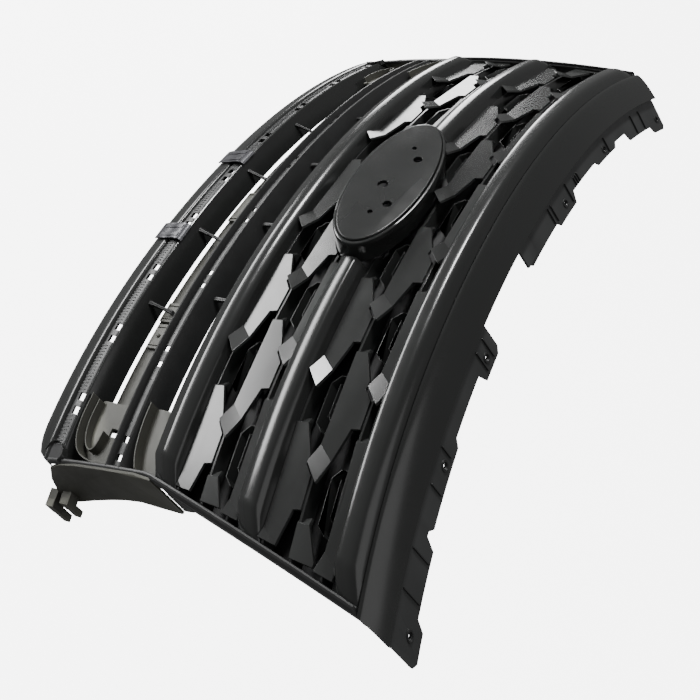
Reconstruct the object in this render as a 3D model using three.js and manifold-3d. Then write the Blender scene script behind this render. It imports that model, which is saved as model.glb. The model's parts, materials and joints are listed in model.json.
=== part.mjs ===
// Upper front grille for a large road car: moulded bars, a lattice of overlapping scales, an oval
// badge pad, a divider and a rolled lower lip, held by a top flange.
//
// Frame, in mm: +X across the car, +Y towards the engine bay, +Z up. The origin is on the
// underside of the top rest pad, on the car's centre line. Every piece is first laid out flat
// as (x, d, h): x across, d behind the face, h up the face. bend() then curves it onto the car.
import * as THREE from "three";
import { mergeVertices } from "three/addons/utils/BufferGeometryUtils.js";
import Module from "manifold-3d";

const wasm = await Module();
wasm.setup();

// ---- The face all pieces follow ----
const HALF_WIDTH = 500; // header end to the middle
const LEAN = 0.5; // how far the face leans back for each mm of height
const BOW = 0.00046; // extra lean away from the middle bar, per mm squared
const PLAN_SAG = 90; // how far the ends stand behind the middle, round term
const PLAN_SAG_CORNER = 15; // the same, sharper term near the ends
const SAG_PER_HEIGHT = 0.045; // the plan curve grows a little with height
const END_DROP = 14; // how much lower the ends of each bar are than its middle
const FIT = 0.4; // gap left where two pieces touch

// ---- Side outline: half the width of the opening at each height ----
const WIDTH_AT_MIDDLE_BAR = 473;
const WIDTH_PER_HEIGHT = 0.18;
const WAIST = -145; // the sides run in down to this height, then out again
const WIDTH_PER_HEIGHT_BELOW = -0.1;

// ---- Heights up the face ----
const SEAM = 112; // header meets the upper bar
const UPPER_BAR_FOOT = 87;
const MIDDLE_BAR_TOP = 4;
const MIDDLE_BAR_FOOT = -23;
const LOWER_BAR_TOP = -106;
const LOWER_BAR_FOOT = -137;
const DIVIDER_TOP = -182;
const DIVIDER_FOOT = -206;
const LIP_TOP = -279;
const LIP_FOOT = -348;

// ---- Depths behind the face ----
const BAR_DEPTH = 34;
const HEADER_BACK = 56;
const SCALE_DEPTH = 14; // front of the lattice scales
const SHELF_DEPTH = 34; // back of the shelf behind each row
const BACKING_DEPTH = 42;
const SKIN = 2.6; // wall of every moulding

// ---- Badge pad ----
const PAD_HALF_LENGTH = 119;
const PAD_HALF_HEIGHT = 49;
const PAD_THICK = 5;
const PAD_FRONT = -20; // pad face in front of the middle bar
const PAD_LEAN = 31; // degrees back from upright
const COLLAR_DEPTH = 34;
const COLLAR_RIM = 5;

// ---- Lattice ----
const SCALE_PITCH = 197;
const SCALE_THICK = 4;
const ROWS_LOWER = [-105, -72, -39];
const ROWS_UPPER = [5, 37, 70];
const UPPER_SHIFT = 13; // the upper rows stand this much to one side of the lower rows

const STATIONS = 22; // cross-sections along a full-width piece

// ---------------------------------------------------------------------------------------------
// Face mapping and solid helpers

const halfWidthAt = (h) =>
  h > WAIST
    ? WIDTH_AT_MIDDLE_BAR + WIDTH_PER_HEIGHT * h
    : WIDTH_AT_MIDDLE_BAR + WIDTH_PER_HEIGHT * WAIST + WIDTH_PER_HEIGHT_BELOW * (h - WAIST);

function onFace(x, d, h) {
  const across = x / HALF_WIDTH;
  const sag = (PLAN_SAG + SAG_PER_HEIGHT * h) * across ** 2 + PLAN_SAG_CORNER * across ** 4;
  return [x, LEAN * h + BOW * h * h + sag + d, h - END_DROP * across ** 2];
}

// The top rest pad is flat; the origin of the frame is on its underside, at x = 0.
const REST_UNDER = 113.9;
const REST_DEPTH = 76;
const REST_FROM = -24;
const REST_TO = 6;
const REST_HALF = 15;
const REST_THICK = 3.4;
const ORIGIN = onFace(0, REST_DEPTH, REST_UNDER);

function bend(geometry) {
  const p = geometry.getAttribute("position");
  for (let i = 0; i < p.count; i++) {
    const [x, y, z] = onFace(p.getX(i), p.getY(i), p.getZ(i));
    p.setXYZ(i, x - ORIGIN[0], y - ORIGIN[1], z - ORIGIN[2]);
  }
  return geometry;
}

// A closed body through a list of equal-length rings of [x, d, h] points.
function loft(rings) {
  const n = rings[0].length;
  const positions = rings.flat(2);
  const index = [];
  for (let r = 0; r + 1 < rings.length; r++)
    for (let i = 0; i < n; i++) {
      const a = r * n + i;
      const b = r * n + ((i + 1) % n);
      index.push(a, b, a + n, b, b + n, a + n);
    }
  const flat = rings[0].map(([, d, h]) => new THREE.Vector2(d, h));
  const cap = THREE.ShapeUtils.triangulateShape(flat, []);
  const last = (rings.length - 1) * n;
  for (const [a, b, c] of cap) {
    index.push(a, c, b);
    index.push(last + a, last + b, last + c);
  }
  const geometry = new THREE.BufferGeometry();
  geometry.setAttribute("position", new THREE.Float32BufferAttribute(positions, 3));
  geometry.setIndex(index);
  return geometry;
}

// Profiles are lists of [h, d]; they are turned so that the body's faces point out.
function outward(profile) {
  const area = THREE.ShapeUtils.area(profile.map(([h, d]) => new THREE.Vector2(d, h)));
  return area < 0 ? [...profile].reverse() : profile;
}

// Sweep a profile across the grille. from and to are shares of the half width, -1 to 1.
// chamfer = {length, back}: how far from the end the front starts to slope away, and how deep.
// shaped(t, h) may lift the foot of a profile near the ends.
const asDrawn = (t, h) => h;

function sweep(profile, from, to, options = {}) {
  const { chamfer = null, inset = 0, ends = [true, true], shaped = asDrawn, more = [] } = options;
  const count = Math.max(2, Math.round((STATIONS * (to - from)) / 2));
  const places = [];
  for (let i = 0; i <= count; i++) places.push(from + ((to - from) * i) / count);
  places.push(...more);
  places.sort((a, b) => a - b);
  if (chamfer) {
    const step = chamfer.length / WIDTH_AT_MIDDLE_BAR;
    if (ends[1]) places.splice(places.length - 1, 0, to - step);
    if (ends[0]) places.splice(1, 0, from + step);
  }
  const rings = places.map((t, i) => {
    const atEnd = (i === 0 && ends[0]) || (i === places.length - 1 && ends[1]);
    const back = chamfer && atEnd ? chamfer.back : 0;
    return outward(profile).map(([h, d]) => {
      const fall = back * Math.max(0, 1 - Math.max(0, d) / BAR_DEPTH);
      const height = shaped(t, h);
      return [t * (halfWidthAt(height) - inset), d + fall, height];
    });
  });
  return bend(loft(rings));
}

// The closed outline of a wall of the given thickness that follows an open line of [h, d] points.
function wall(line, thick = SKIN, side = 1) {
  const normals = line.map((_, i) => {
    const a = line[Math.max(0, i - 1)];
    const b = line[Math.min(line.length - 1, i + 1)];
    const run = [b[0] - a[0], b[1] - a[1]];
    const size = Math.hypot(...run);
    return [(side * run[1]) / size, (-side * run[0]) / size];
  });
  const inner = line.map(([h, d], i) => [h + thick * normals[i][0], d + thick * normals[i][1]]);
  return [...line, ...inner.reverse()];
}

// Upright prism of an [x, h] outline between two depths.
function plate(outline, front, back) {
  const shape = new THREE.Shape(outline.map(([x, h]) => new THREE.Vector2(x, h)));
  const geometry = new THREE.ExtrudeGeometry(shape, { depth: back - front, bevelEnabled: false });
  const turn = new THREE.Matrix4().makeBasis(
    new THREE.Vector3(1, 0, 0),
    new THREE.Vector3(0, 0, 1),
    new THREE.Vector3(0, -1, 0),
  );
  return bend(geometry.applyMatrix4(turn).translate(0, back, 0));
}

// Level prism of an [x, d] outline between two heights.
function shelf(outline, low, high) {
  const shape = new THREE.Shape(outline.map(([x, d]) => new THREE.Vector2(x, d)));
  const geometry = new THREE.ExtrudeGeometry(shape, { depth: high - low, bevelEnabled: false });
  return bend(geometry.translate(0, 0, low));
}

// A block that stays flat, drawn in the frame itself.
const flatBlock = (x0, x1, y0, y1, z0, z1) =>
  new THREE.BoxGeometry(x1 - x0, y1 - y0, z1 - z0).translate(
    (x0 + x1) / 2,
    (y0 + y1) / 2,
    (z0 + z1) / 2,
  );

const block = (x0, x1, d0, d1, h0, h1) =>
  shelf([[x0, d0], [x1, d0], [x1, d1], [x0, d1]], h0, h1);

function asSolid(geometry) {
  const bare = geometry.clone();
  bare.deleteAttribute("normal");
  bare.deleteAttribute("uv");
  const merged = mergeVertices(bare, 1e-4);
  return new wasm.Manifold(
    new wasm.Mesh({
      numProp: 3,
      vertProperties: new Float32Array(merged.getAttribute("position").array),
      triVerts: new Uint32Array(merged.index.array),
    }),
  );
}

function asGeometry(solid) {
  const mesh = solid.getMesh();
  const geometry = new THREE.BufferGeometry();
  geometry.setAttribute("position", new THREE.BufferAttribute(mesh.vertProperties, 3));
  geometry.setIndex(new THREE.BufferAttribute(mesh.triVerts, 1));
  return geometry;
}

const joined = (pieces) =>
  asGeometry(pieces.map(asSolid).reduce((whole, piece) => whole.add(piece)));

const carved = (piece, cutters) =>
  asGeometry(cutters.map(asSolid).reduce((rest, tool) => rest.subtract(tool), asSolid(piece)));

// ---------------------------------------------------------------------------------------------
// Group and materials

const grille = new THREE.Group();
grille.name = "front_grille";

const FINISHES = {
  satin: { color: 0x2b2c2b, roughness: 0.38, metalness: 0 },
  grained: { color: 0x222324, roughness: 0.62, metalness: 0 },
  backing: { color: 0x141516, roughness: 0.75, metalness: 0 },
  inner: { color: 0x4b4b44, roughness: 0.6, metalness: 0 },
  spring: { color: 0x303236, roughness: 0.4, metalness: 0.9 },
};

function add(name, geometry, finish) {
  const material = new THREE.MeshStandardMaterial(FINISHES[finish]);
  material.name = finish;
  const mesh = new THREE.Mesh(geometry, material);
  mesh.name = name;
  grille.add(mesh);
}

const SIDES = [
  ["right", 1],
  ["left", -1],
];

// ---------------------------------------------------------------------------------------------
// Bars and header

const BAR_END = { length: 22, back: 13 };

function addHeader() {
  const outline = [
    [SEAM + 0.8, 24],
    [SEAM + 0.8, 11],
    [SEAM + 3.4, 12.5],
    [SEAM + 6.5, 21],
    [SEAM + 9, 34],
    [SEAM + 10.8, HEADER_BACK - 2],
    [SEAM + 7.5, HEADER_BACK],
    [SEAM + 7, HEADER_BACK - 2],
    [SEAM + 6.8, 34.5],
    [SEAM + 4.4, 22.5],
    [SEAM + 3, 16],
    [SEAM + 3, 24],
  ];
  add("header_panel", sweep(outline, -1, 1, { inset: -4 }), "satin");
}

function addUpperBar() {
  const line = [
    [SEAM, 30],
    [SEAM, 11],
    [SEAM - 1.5, 3],
    [SEAM - 5, -2],
    [SEAM - 10, -3],
    [SEAM - 17, -1.8],
    [UPPER_BAR_FOOT + 3, 0],
    [UPPER_BAR_FOOT + 0.4, 4],
    [UPPER_BAR_FOOT, 10],
    [UPPER_BAR_FOOT, BAR_DEPTH],
  ];
  add("upper_bar", sweep(wall(line), -1, 1, { chamfer: BAR_END, inset: 4.2 }), "satin");
}

// The lower two bars: a flat lower flank, a rounded ridge near the top and a level top wall.
function ridgedBar(top, foot) {
  return wall([
    [top, BAR_DEPTH],
    [top, 7],
    [top - 0.8, 1.5],
    [top - 3, -2],
    [top - 6.5, -2.8],
    [foot + 8, 0.6],
    [foot + 2, 3.2],
    [foot, 7],
    [foot, BAR_DEPTH],
  ]);
}

function addMiddleBars() {
  const profile = ridgedBar(MIDDLE_BAR_TOP, MIDDLE_BAR_FOOT);
  const start = (PAD_HALF_LENGTH + COLLAR_RIM + 4) / WIDTH_AT_MIDDLE_BAR;
  for (const [side, sign] of SIDES) {
    const reach = sign > 0 ? [start, 1] : [-1, -start];
    const options = { chamfer: BAR_END, inset: 4.2, ends: [sign < 0, sign > 0] };
    add(`middle_bar_${side}`, sweep(profile, ...reach, options), "satin");
  }
}

function addLowerBar() {
  const profile = ridgedBar(LOWER_BAR_TOP, LOWER_BAR_FOOT);
  add("lower_bar", sweep(profile, -1, 1, { chamfer: BAR_END, inset: 4.2 }), "satin");
}

// ---------------------------------------------------------------------------------------------
// Badge pad: a flat oval face on a deep oval collar

function ovalRing(halfLength, halfHeight, steps = 48) {
  const points = [];
  for (let i = 0; i < steps; i++) {
    const a = (2 * Math.PI * i) / steps;
    points.push(new THREE.Vector2(halfLength * Math.cos(a), halfHeight * Math.sin(a)));
  }
  return points;
}

// Places a prism drawn on the pad's own plane; near and far are depths behind the pad's face.
function onPad(outline, holes, near, far) {
  const shape = new THREE.Shape(outline);
  shape.holes = holes.map((hole) => new THREE.Path(hole));
  const geometry = new THREE.ExtrudeGeometry(shape, { depth: far - near, bevelEnabled: false });
  const lean = THREE.MathUtils.degToRad(PAD_LEAN);
  geometry.translate(0, 0, -far);
  geometry.rotateX(Math.PI / 2 - lean);
  const centre = onFace(0, PAD_FRONT, 0);
  return geometry.translate(
    centre[0] - ORIGIN[0],
    centre[1] - ORIGIN[1],
    centre[2] - ORIGIN[2],
  );
}

function circle(x, y, radius, steps = 14) {
  return ovalRing(radius, radius, steps).map((p) => p.add(new THREE.Vector2(x, y)));
}

function addBadge() {
  const stud = 6;
  const pin = 3.6;
  const holes = [
    circle(-46, 17, stud),
    circle(46, 17, stud),
    circle(13, -5, stud + 1),
    circle(-66, 3, pin),
    circle(66, 3, pin),
  ];
  const face = ovalRing(PAD_HALF_LENGTH, PAD_HALF_HEIGHT);
  add("badge_pad", onPad(face, holes, 0, PAD_THICK), "satin");
  const outer = ovalRing(PAD_HALF_LENGTH + COLLAR_RIM, PAD_HALF_HEIGHT + COLLAR_RIM);
  const inner = ovalRing(PAD_HALF_LENGTH + FIT, PAD_HALF_HEIGHT + FIT);
  const bore = ovalRing(PAD_HALF_LENGTH - 5, PAD_HALF_HEIGHT - 5);
  const collar = joined([
    onPad(outer, [inner], 3, PAD_THICK + FIT + 1),
    onPad(outer, [bore], PAD_THICK + FIT, COLLAR_DEPTH),
  ]);
  add("badge_collar", collar, "satin");
}

// ---------------------------------------------------------------------------------------------
// Lattice: staggered rows of scales, each row on its own shelf

// One scale about its middle: a wide foot, bevelled corners and a narrow neck.
const SCALE_OUTLINE = [
  [50, 0],
  [64, 15],
  [34, 22],
  [24, 24],
  [19, 36],
  [-3, 36],
  [-24, 24],
  [-34, 24],
  [-66, 12],
  [-64, 0],
];
// Its near end folds forward, over the scale below.
const WING_START = 49.6;
const WING_REACH = 27;
const WING_FORWARD = 10;
const WING_SLANT = [14, 15]; // from the lower to the upper corner of the folded edge

// Keep the part of an [x, h] outline between two x limits and under a top height.
function clipped(outline, low, high, top) {
  const cutSide = (points, inside, crossing) => {
    const kept = [];
    points.forEach((p, i) => {
      const q = points[(i + 1) % points.length];
      if (inside(p)) kept.push(p);
      if (inside(p) !== inside(q)) kept.push(crossing(p, q));
    });
    return kept;
  };
  const at = (axis, value) => (p, q) => {
    const t = (value - p[axis]) / (q[axis] - p[axis]);
    return [p[0] + t * (q[0] - p[0]), p[1] + t * (q[1] - p[1])];
  };
  let points = cutSide(outline, (p) => p[0] <= high, at(0, high));
  points = cutSide(points, (p) => p[0] >= low, at(0, low));
  points = cutSide(points, (p) => p[1] <= top, at(1, top));
  const apart = (p, q) => Math.hypot(p[0] - q[0], p[1] - q[1]) > 0.05;
  return points.filter((p, i) => apart(p, points[(i + 1) % points.length]));
}

// Rows beside the middle bar have no scale where the badge stands.
const BADGE_HIDES = { halfLength: 60, low: -40, high: 20 };
const behindBadge = (middle, foot) =>
  Math.abs(middle) < BADGE_HIDES.halfLength && foot > BADGE_HIDES.low && foot < BADGE_HIDES.high;

// The folded end, drawn as two sections: where it leaves the scale and where it stops.
function wing(middle, foot) {
  const [across, up] = WING_SLANT;
  const section = (x, d) => [
    [x, d + SCALE_THICK, foot],
    [x + across, d + SCALE_THICK, foot + up],
    [x + across, d, foot + up],
    [x, d, foot],
  ];
  const root = section(middle + WING_START, SCALE_DEPTH);
  const tip = section(middle + WING_START + WING_REACH, SCALE_DEPTH - WING_FORWARD);
  return bend(loft([root, tip]));
}

function latticeRow(foot, odd, top, shift) {
  const reach = (halfWidthAt(foot) - 6) / halfWidthAt(foot);
  const shelfProfile = [
    [foot, SCALE_DEPTH + 2],
    [foot + 2.4, SCALE_DEPTH + 2],
    [foot + 2.4, SHELF_DEPTH],
    [foot, SHELF_DEPTH],
  ];
  const pieces = [sweep(shelfProfile, -reach, reach)];
  const limit = halfWidthAt(foot) - 8;
  const first = odd ? 0 : SCALE_PITCH / 2;
  for (let k = -3; k <= 3; k++) {
    const middle = first + k * SCALE_PITCH + shift;
    if (behindBadge(middle - shift, foot)) continue;
    const outline = SCALE_OUTLINE.map(([x, h]) => [middle + x, foot + h]);
    const kept = clipped(outline, -limit, limit, top);
    if (kept.length < 3) continue;
    pieces.push(plate(kept, SCALE_DEPTH, SCALE_DEPTH + SCALE_THICK));
    const wingFrom = middle + WING_START;
    const wingTo = wingFrom + WING_SLANT[0] + WING_REACH;
    const fits = wingFrom > -limit && wingTo < limit && foot + WING_SLANT[1] < top;
    if (fits) pieces.push(wing(middle, foot));
  }
  return pieces;
}

function addLattice() {
  const badgeSpace = onPad(
    ovalRing(PAD_HALF_LENGTH + COLLAR_RIM + 1, PAD_HALF_HEIGHT + COLLAR_RIM + 1),
    [],
    -5,
    COLLAR_DEPTH + 1,
  );
  const zones = [
    ["lower", ROWS_LOWER, 0, MIDDLE_BAR_FOOT - 2],
    ["upper", ROWS_UPPER, UPPER_SHIFT, UPPER_BAR_FOOT - 2],
  ];
  for (const [zone, rows, shift, roof] of zones)
    rows.forEach((foot, i) => {
      const top = (rows[i + 1] ?? roof) - FIT;
      const row = latticeRow(foot, i % 2 === 0, top, shift);
      const body = joined(row);
      const clear = body && asSolid(body).intersect(asSolid(badgeSpace)).volume() < 1;
      const geometry = clear ? body : carved(body, [badgeSpace]);
      add(`${zone}_lattice_row_${i + 1}`, geometry, "satin");
    });
}

// Dark panel behind a lattice zone, with a folded top and bottom edge. The two panels meet
// behind the middle bar.
const BEHIND_MIDDLE_BAR = (MIDDLE_BAR_TOP + MIDDLE_BAR_FOOT) / 2;
const BACKING_WALL = 2;

function addBacking(name, high, low) {
  const line = [
    [high, BACKING_DEPTH - 4],
    [high, BACKING_DEPTH],
    [(high + low) / 2, BACKING_DEPTH + 3],
    [low, BACKING_DEPTH],
    [low, BACKING_DEPTH - 4],
  ];
  add(name, sweep(wall(line, BACKING_WALL, 1), -1, 1, { inset: 8 }), "backing");
}

// ---------------------------------------------------------------------------------------------
// Divider, slots and lower lip

const HOLE_PAIR_PITCH = 121;
const STRUTS = [-204, -68, 68, 204];

function addDivider() {
  const outline = [
    [DIVIDER_TOP + 3, 42],
    [DIVIDER_TOP, 12],
    [DIVIDER_TOP - 1.5, 9.5],
    [DIVIDER_TOP - 3.2, 10.5],
    [DIVIDER_TOP - 4, 18.5],
    [DIVIDER_FOOT + 4, 18.5],
    [DIVIDER_FOOT + 3.2, 10.5],
    [DIVIDER_FOOT + 1.5, 9.5],
    [DIVIDER_FOOT, 12],
    [DIVIDER_FOOT, 20.5],
    [DIVIDER_TOP - 2, 20.5],
    [DIVIDER_TOP + 1, 42],
  ];
  const bar = sweep(outline, -1, 1, { inset: 1 });
  const holes = [];
  for (let k = -4; k < 4; k++) {
    const middle = (k + 0.5) * HOLE_PAIR_PITCH;
    for (const side of [-11, 11]) {
      const x = middle + side;
      if (Math.abs(x) > 440) continue;
      const low = DIVIDER_TOP - 19.5;
      holes.push(block(x - 4, x + 4, 14, 30, low, low + 12));
    }
  }
  add("divider_bar", carved(bar, holes), "grained");
}

const LIP_FOOT_BACK = 42;

function addLip() {
  const outline = [
    [LIP_TOP + 3, 46],
    [LIP_TOP, 14],
    [LIP_TOP - 1.2, 11],
    [LIP_TOP - 3, 11.5],
    [LIP_TOP - 4, 16],
    [LIP_TOP - 21, 15],
    [LIP_TOP - 22.5, 9],
    [LIP_TOP - 26, 7.5],
    [LIP_TOP - 42, 8],
    [LIP_TOP - 54, 13],
    [LIP_TOP - 62, 22],
    [LIP_TOP - 67, 34],
    [LIP_FOOT, LIP_FOOT_BACK],
    [LIP_FOOT + 2.4, LIP_FOOT_BACK],
    [LIP_TOP - 64.4, 35],
    [LIP_TOP - 59.6, 23.6],
    [LIP_TOP - 52.4, 15.2],
    [LIP_TOP - 41.4, 10.6],
    [LIP_TOP - 27, 10],
    [LIP_TOP - 24.6, 11],
    [LIP_TOP - 23.2, 17.4],
    [LIP_TOP - 3, 18.6],
    [LIP_TOP + 0.6, 46],
  ];
  // The foot sweeps up to a rounded corner over the last part of each end.
  const cornerStart = 0.9;
  const shaped = (t, h) => {
    const share = Math.max(0, (Math.abs(t) - cornerStart) / (1 - cornerStart));
    const lift = 1 - Math.sqrt(1 - share ** 2);
    const fixed = LIP_TOP - 24;
    return h < fixed ? fixed + (h - fixed) * (1 - 0.8 * lift) : h;
  };
  const more = [-0.985, -0.96, -0.93, 0.93, 0.96, 0.985];
  add("lower_lip", sweep(outline, -1, 1, { inset: 2, shaped, more }), "satin");
}

const STRIP_PITCH = 102;
const STRIP_SHIFT = -20;

function addLipTrim() {
  const high = LIP_TOP - 4.8;
  const low = LIP_TOP - 20.2;
  const line = [
    [high, 15.3],
    [high, 12.3],
    [low, 11],
    [low, 14.2],
  ];
  const strip = sweep(line, -0.975, 0.975);
  const slots = [];
  for (let k = -4; k <= 4; k++)
    for (const side of [-9, 9]) {
      const x = k * STRIP_PITCH + STRIP_SHIFT + side;
      slots.push(block(x - 6, x + 4, 5, 22, high - 9, high - 1));
    }
  add("lip_trim_strip", carved(strip, slots), "grained");
}

const RAIL_TOP = -250;
const RAIL_FRONT = 50;
const BOX_FRONT = 45; // the boxes on the rail stand this far forward
// Boxes on the right half of the rail: x from, x to, and how far each stands above the rail.
const RAIL_BOXES = [
  [-20, 45, 3],
  [205, 236, 4],
  [240, 278, 7],
];

function addRearRail() {
  const top = RAIL_TOP;
  const foot = RAIL_TOP - 25;
  const strip = [
    [top, RAIL_FRONT],
    [top, RAIL_FRONT + 3],
    [foot, RAIL_FRONT + 3],
    [foot, RAIL_FRONT],
  ];
  const reach = 0.86;
  const pieces = [sweep(strip, -reach, reach)];
  for (const [, sign] of SIDES)
    for (const [x0, x1, rise] of RAIL_BOXES) {
      const [a, b] = sign > 0 ? [x0, x1] : [-x1, -x0];
      if (sign < 0 && x0 < 0) continue;
      pieces.push(block(a, b, BOX_FRONT, RAIL_FRONT + 2, foot + rise, top + rise));
    }
  add("rear_rail", joined(pieces), "inner");
}

// The lower struts stand a little to one side of the upper ones, and lean back to the rail.
const LOWER_STRUT_SHIFT = 20;
const STRUT_THICK = 6;
const LOWER_STRUT_FRONT = 22;

function leaningStrut(x, foot, top) {
  const meetsBox = RAIL_BOXES.some(([x0, x1]) => x > x0 && x < x1);
  const back = (meetsBox ? BOX_FRONT : RAIL_FRONT) - FIT;
  const outline = outward([
    [foot, LOWER_STRUT_FRONT],
    [foot, LOWER_STRUT_FRONT + STRUT_THICK],
    [top, back],
    [top, back - STRUT_THICK],
  ]);
  const ring = (side) => outline.map(([h, d]) => [x + (side * STRUT_THICK) / 2, d, h]);
  return bend(loft([ring(-1), ring(1)]));
}

function addStruts() {
  STRUTS.forEach((x, i) => {
    const strut = leaningStrut(x + LOWER_STRUT_SHIFT, LIP_TOP + 1.9, RAIL_TOP);
    add(`lower_slot_strut_${i + 1}`, strut, "grained");
    const low = DIVIDER_TOP + 3.4;
    const high = LOWER_BAR_FOOT - FIT - 2;
    add(`upper_slot_strut_${i + 1}`, block(x - 3, x + 3, 26, 32, low, high), "grained");
  });
}

// Shallow plates that close the outer end of each slot, up to the side of the grille.
const POCKET_GAP = 0.4;

function addPockets() {
  const edge = (h) => halfWidthAt(h) - POCKET_GAP;
  const lower = [
    [368, -273],
    [420, -270],
    [edge(-256) - 8, -256],
    [edge(-240), -240],
    [edge(-214), -214],
    [368, -214],
  ];
  const upper = [
    [366, -176],
    [410, -174],
    [edge(-168) - 4, -168],
    [edge(-143), -143],
    [366, -143],
  ];
  for (const [side, sign] of SIDES) {
    const onSide = (points) => points.map(([x, h]) => [sign * x, h]);
    add(`lower_slot_pocket_${side}`, plate(onSide(lower), 30, 33), "inner");
    add(`upper_slot_pocket_${side}`, plate(onSide(upper), 24, 27), "inner");
  }
}

// ---------------------------------------------------------------------------------------------
// Sides, flange and fixings

const SIDE_TOP = 111;
const SIDE_FOOT = -135.5;

function addSideWalls() {
  const front = [];
  const back = [];
  for (let h = SIDE_TOP; h >= SIDE_FOOT; h -= (SIDE_TOP - SIDE_FOOT) / 11) {
    front.push([h, 6]);
    back.unshift([h, 46]);
  }
  for (const [side, sign] of SIDES) {
    const profile = outward([...front, ...back]);
    const ring = (offset) => profile.map(([h, d]) => [sign * (halfWidthAt(h) + offset), d, h]);
    const rings = sign > 0 ? [ring(-3.6), ring(0)] : [ring(0), ring(-3.6)];
    add(`side_wall_${side}`, bend(loft(rings)), "satin");
  }
}

// Panel under each end, with a pair of hooks that clip into the bumper.
function addSideBrackets() {
  const outline = [
    [-136, 9], [-160, 9], [-190, 10], [-220, 10], [-250, 10], [-278, 12], [-303, 20],
    [-326, 44], [-342, 70], [-352, 84], [-344, 94], [-318, 91], [-285, 84],
    [-251, 77], [-224, 72], [-197, 70], [-167, 76], [-146, 79], [-137, 72],
  ];
  for (const [side, sign] of SIDES) {
    const profile = outward(outline);
    const ring = (offset) => profile.map(([h, d]) => [sign * (halfWidthAt(h) + offset), d, h]);
    const rings = sign > 0 ? [ring(0.6), ring(3.4)] : [ring(3.4), ring(0.6)];
    const reach = (x0, x1) => (sign > 0 ? [x0, x1] : [-x1, -x0]);
    const panel = bend(loft(rings));
    const root = halfWidthAt(-340) + 1;
    const front = block(...reach(root, root + 22), 72, 88, -359, -343);
    const tip = block(...reach(root + 13, root + 22), 72, 106, -357, -345);
    const rear = block(...reach(root, root + 16), 70, 84, -331, -315);
    const rearTip = block(...reach(root + 8, root + 16), 70, 98, -329, -317);
    const body = joined([panel, front, tip, rear, rearTip]);
    add(`side_bracket_${side}`, body, "grained");
  }
}

// The flange: a level strip behind the header whose back edge steps out into tabs.
const FLANGE_ROOT = HEADER_BACK + 1;
const FLANGE_LOW = 114.5;
const FLANGE_THICK = 2.6;
const FLANGE_END = 495; // both flanges stop here at the outer end
const STRIP_BACK = 86; // back edge between the tabs
const TAB_BACK = 102; // back edge of a screw tab
const LOW_TAB_BACK = 94; // back edge of the shallow tabs
const END_TAB_BACK = 115;
const STEP_RUN = 7; // a step in the back edge slopes over this length
const STATION_GAP = 24; // longest stretch between two cross-sections
const SCREW_HOLE = 3.6;

// Each step is [x where it starts, how far back the flange reaches from there on].
const STEPS_RIGHT = [
  [131, TAB_BACK],
  [178, STRIP_BACK],
  [266, LOW_TAB_BACK],
  [366, STRIP_BACK],
  [378, TAB_BACK],
  [452, END_TAB_BACK],
];
const STEPS_LEFT = [
  [-FLANGE_END, END_TAB_BACK],
  [-456, TAB_BACK],
  [-370, STRIP_BACK],
  [-324, LOW_TAB_BACK],
  [-252, STRIP_BACK],
  [-163, TAB_BACK],
  [-98, LOW_TAB_BACK],
];
const FLANGE_GAP_START = 4; // the left flange stops here, the right one starts at its first step

// The back edge as [x, d] points, with a corner cut off at each end of the flange.
function backEdge(steps, end) {
  const edge = [];
  let reach = steps[0][1] - STEP_RUN;
  for (const [x, back] of steps) {
    edge.push([x, reach], [x + STEP_RUN, back]);
    reach = back;
  }
  edge.push([end - STEP_RUN, reach], [end, reach - STEP_RUN]);
  return edge;
}

// Points added to a line so that no stretch of it is longer than STATION_GAP.
function refined(line) {
  return line.slice(1).reduce(
    (points, [x, d], i) => {
      const [fromX, fromD] = line[i];
      const parts = Math.max(1, Math.ceil((x - fromX) / STATION_GAP));
      for (let k = 1; k <= parts; k++) {
        const share = k / parts;
        points.push([fromX + (x - fromX) * share, fromD + (d - fromD) * share]);
      }
      return points;
    },
    [line[0]],
  );
}

function flange(steps, end, holes, extra = []) {
  const high = FLANGE_LOW + FLANGE_THICK;
  const rings = refined(backEdge(steps, end)).map(([x, back]) => [
    [x, FLANGE_ROOT, FLANGE_LOW],
    [x, back, FLANGE_LOW],
    [x, back, high],
    [x, FLANGE_ROOT, high],
  ]);
  const body = joined([bend(loft(rings)), ...extra]);
  const cutters = holes.map(([x, d]) => {
    const ring = circle(x, d, SCREW_HOLE, 12).map((p) => [p.x, p.y]);
    return shelf(ring, FLANGE_LOW - 4, FLANGE_LOW + 10);
  });
  return carved(body, cutters);
}

function addFlanges() {
  const tabHole = TAB_BACK - 16;
  const shallowHole = LOW_TAB_BACK - 13;
  const endHole = END_TAB_BACK - 22;
  const holesRight = [
    [158, tabHole],
    [303, shallowHole],
    [472, endHole],
  ];
  const holesLeft = [
    [-131, tabHole],
    [-285, shallowHole],
    [-479, endHole],
  ];
  const rest = flatBlock(REST_FROM, REST_TO, -REST_HALF, REST_HALF, 0, REST_THICK);
  add("mounting_flange_right", flange(STEPS_RIGHT, FLANGE_END, holesRight), "grained");
  add("mounting_flange_left", flange(STEPS_LEFT, FLANGE_GAP_START, holesLeft, [rest]), "grained");
}

const CLIPS = [-62, 110];

function addClips() {
  CLIPS.forEach((x, i) => {
    const line = [
      [LIP_TOP + 3, 11],
      [LIP_TOP + 0.5, 7],
      [LIP_TOP - 10, 4],
      [LIP_TOP - 26, 3.4],
      [LIP_TOP - 44, 4.4],
    ];
    const half = 15;
    const rings = [x - half, x + half].map((at) =>
      outward(wall(line, 1.6, -1)).map(([h, d]) => [at, d, h]),
    );
    add(`lip_clip_${i + 1}`, bend(loft(rings)), "spring");
  });
}

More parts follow.
